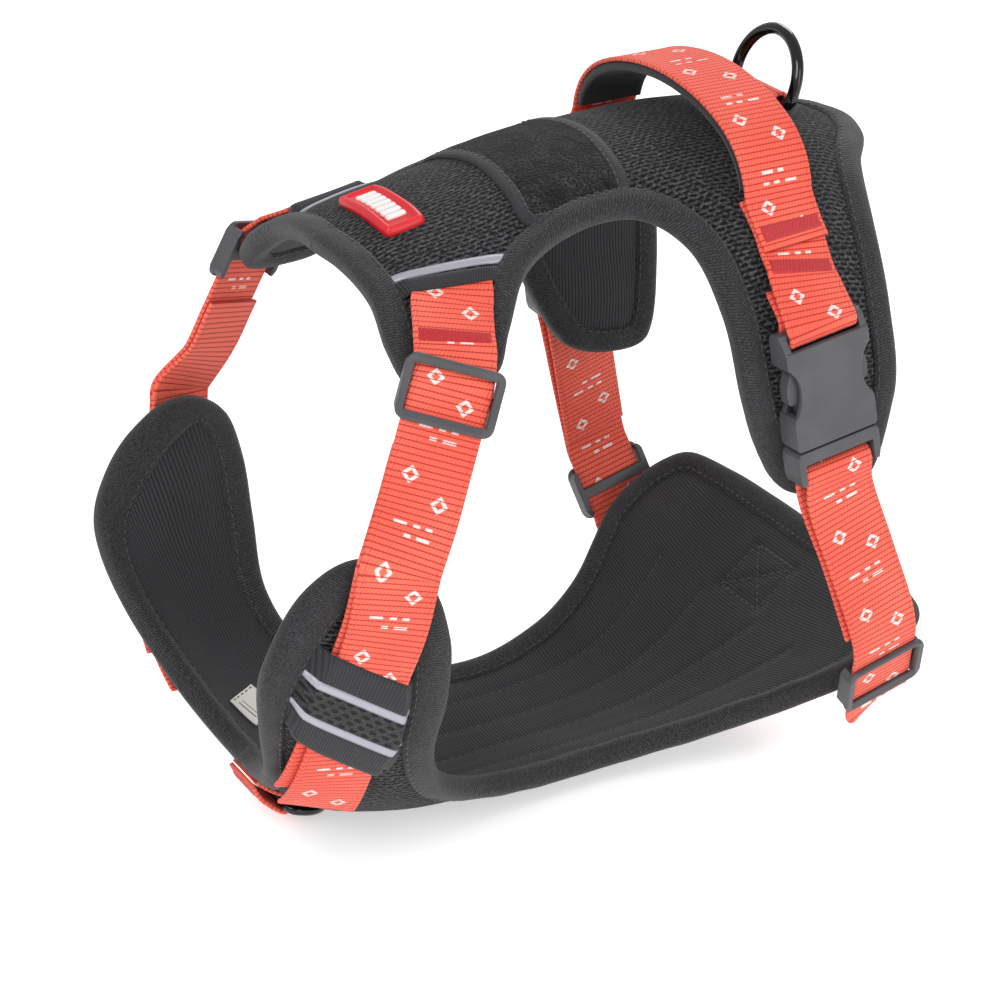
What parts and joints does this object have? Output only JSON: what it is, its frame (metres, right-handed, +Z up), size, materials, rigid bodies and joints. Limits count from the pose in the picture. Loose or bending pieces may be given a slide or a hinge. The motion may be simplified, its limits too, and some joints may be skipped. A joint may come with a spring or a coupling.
{
  "type": "no pull dog harness",
  "caption": "Padded dog harness with back panel and chest plate joined by adjustable shoulder and girth straps, side-release buckles, top handle, leash ring and front ring.",
  "frame": {"origin": "floor level under the centre of the harness's bounding box, with the harness standing on its belly strip", "axes": "+Z up, -Y towards the dog's head, +X the dog's left side"},
  "size_m": [0.1898, 0.2606, 0.2513],
  "materials": {
    "air_mesh": "black knitted air mesh",
    "lining": "black ribbed knit",
    "binding": "charcoal twill edge binding",
    "loop_tape": "black loop pile",
    "badge_white": "white moulded rubber",
    "badge_red": "red moulded rubber",
    "reflective_tape": "silver reflective tape",
    "ribbon": "charcoal grosgrain",
    "mesh_window": "black open mesh",
    "webbing": "coral red nylon webbing",
    "label": "off-white woven satin label",
    "ring_steel": "gloss black plated steel",
    "plastic": "dark grey acetal"
  },
  "bodies": {
    "harness": {"back_binding": "binding", "back_lining": "lining", "back_panel": "air_mesh", "back_reflective_left": "reflective_tape", "back_reflective_right": "reflective_tape", "back_ribbon_left": "ribbon", "back_ribbon_right": "ribbon", "badge": "badge_red", "badge_insert": "badge_white", "buckle_female_left": "plastic", "buckle_female_right": "plastic", "chest_binding": "binding", "chest_lining": "lining", "chest_mesh_left": "mesh_window", "chest_mesh_right": "mesh_window", "chest_panel": "air_mesh", "chest_reflective_lower_left": "reflective_tape", "chest_reflective_lower_right": "reflective_tape", "chest_reflective_upper_left": "reflective_tape", "chest_reflective_upper_right": "reflective_tape", "chest_ribbon_lower_left": "ribbon", "chest_ribbon_lower_right": "ribbon", "chest_ribbon_upper_left": "ribbon", "chest_ribbon_upper_right": "ribbon", "front_ring_tab": "webbing", "girth_strap_lower_left": "webbing", "girth_strap_lower_right": "webbing", "girth_strap_upper_left": "webbing", "girth_strap_upper_right": "webbing", "leash_ring_tab": "webbing", "loop_panel": "loop_tape", "shoulder_return_left": "webbing", "shoulder_return_right": "webbing", "shoulder_strap_left": "webbing", "shoulder_strap_right": "webbing", "size_label": "label"},
    "leash_ring": {"leash_ring": "ring_steel"},
    "front_ring": {"front_ring": "ring_steel"},
    "handle": {"handle_webbing": "webbing", "handle_lining": "lining"},
    "shoulder_slider_left": {"shoulder_slider_left": "plastic"},
    "girth_slider_left": {"girth_slider_left": "plastic"},
    "buckle_male_left": {"buckle_male_left": "plastic"},
    "buckle_prong_left_front": {"buckle_prong_left_front": "plastic"},
    "buckle_prong_left_rear": {"buckle_prong_left_rear": "plastic"},
    "shoulder_slider_right": {"shoulder_slider_right": "plastic"},
    "girth_slider_right": {"girth_slider_right": "plastic"},
    "buckle_male_right": {"buckle_male_right": "plastic"},
    "buckle_prong_right_front": {"buckle_prong_right_front": "plastic"},
    "buckle_prong_right_rear": {"buckle_prong_right_rear": "plastic"}
  },
  "joints": [
    {"name": "leash_ring_swing", "type": "hinge", "parent": "harness", "child": "leash_ring", "pos_m": [0, 0.09472, 0.22799], "axis": [1, 0, 0], "range_deg": [-48, 50]},
    {"name": "front_ring_swing", "type": "hinge", "parent": "harness", "child": "front_ring", "pos_m": [0, -0.09624, 0.00851], "axis": [1, 0, 0], "range_deg": [-120, 0]},
    {"name": "handle_flop", "type": "hinge", "parent": "harness", "child": "handle", "pos_m": [0, 0.06572, 0.20609], "axis": [1, 0, 0], "range_deg": [-20, 20], "stiffness_Nm_per_rad": 0.3, "deforming": ["handle_webbing", "handle_lining"]},
    {"name": "shoulder_adjust_left", "type": "slide", "parent": "harness", "child": "shoulder_slider_left", "axis": [0.169, -0.395, -0.903], "range_m": [0, 0.02]},
    {"name": "girth_adjust_left", "type": "slide", "parent": "harness", "child": "girth_slider_left", "axis": [-0.3802, 0.2201, -0.8984], "range_m": [-0.006, 0.006], "deforming": ["girth_strap_lower_left"]},
    {"name": "buckle_release_left", "type": "slide", "parent": "harness", "child": "buckle_male_left", "axis": [0.055, 0.143, -0.9882], "range_m": [0, 0.03], "deforming": ["girth_strap_lower_left", "buckle_prong_left_front", "buckle_prong_left_rear"]},
    {"name": "buckle_press_left_front", "type": "hinge", "parent": "buckle_male_left", "child": "buckle_prong_left_front", "pos_m": [0.0836, 0.05954, 0.13835], "axis": [0.9985, -0.0079, 0.0544], "range_deg": [-7, 0], "stiffness_Nm_per_rad": 0.05},
    {"name": "buckle_press_left_rear", "type": "hinge", "parent": "buckle_male_left", "child": "buckle_prong_left_rear", "pos_m": [0.0836, 0.07893, 0.14116], "axis": [0.9985, -0.0079, 0.0544], "range_deg": [0, 7], "stiffness_Nm_per_rad": 0.05},
    {"name": "shoulder_adjust_right", "type": "slide", "parent": "harness", "child": "shoulder_slider_right", "axis": [-0.169, -0.395, -0.903], "range_m": [0, 0.02]},
    {"name": "girth_adjust_right", "type": "slide", "parent": "harness", "child": "girth_slider_right", "axis": [0.3802, 0.2201, -0.8984], "range_m": [-0.006, 0.006], "deforming": ["girth_strap_lower_right"]},
    {"name": "buckle_release_right", "type": "slide", "parent": "harness", "child": "buckle_male_right", "axis": [-0.055, 0.143, -0.9882], "range_m": [0, 0.03], "deforming": ["girth_strap_lower_right", "buckle_prong_right_front", "buckle_prong_right_rear"]},
    {"name": "buckle_press_right_front", "type": "hinge", "parent": "buckle_male_right", "child": "buckle_prong_right_front", "pos_m": [-0.0836, 0.05954, 0.13835], "axis": [-0.9985, -0.0079, 0.0544], "range_deg": [0, 7], "stiffness_Nm_per_rad": 0.05},
    {"name": "buckle_press_right_rear", "type": "hinge", "parent": "buckle_male_right", "child": "buckle_prong_right_rear", "pos_m": [-0.0836, 0.07893, 0.14116], "axis": [-0.9985, -0.0079, 0.0544], "range_deg": [-7, 0], "stiffness_Nm_per_rad": 0.05}
  ]
}
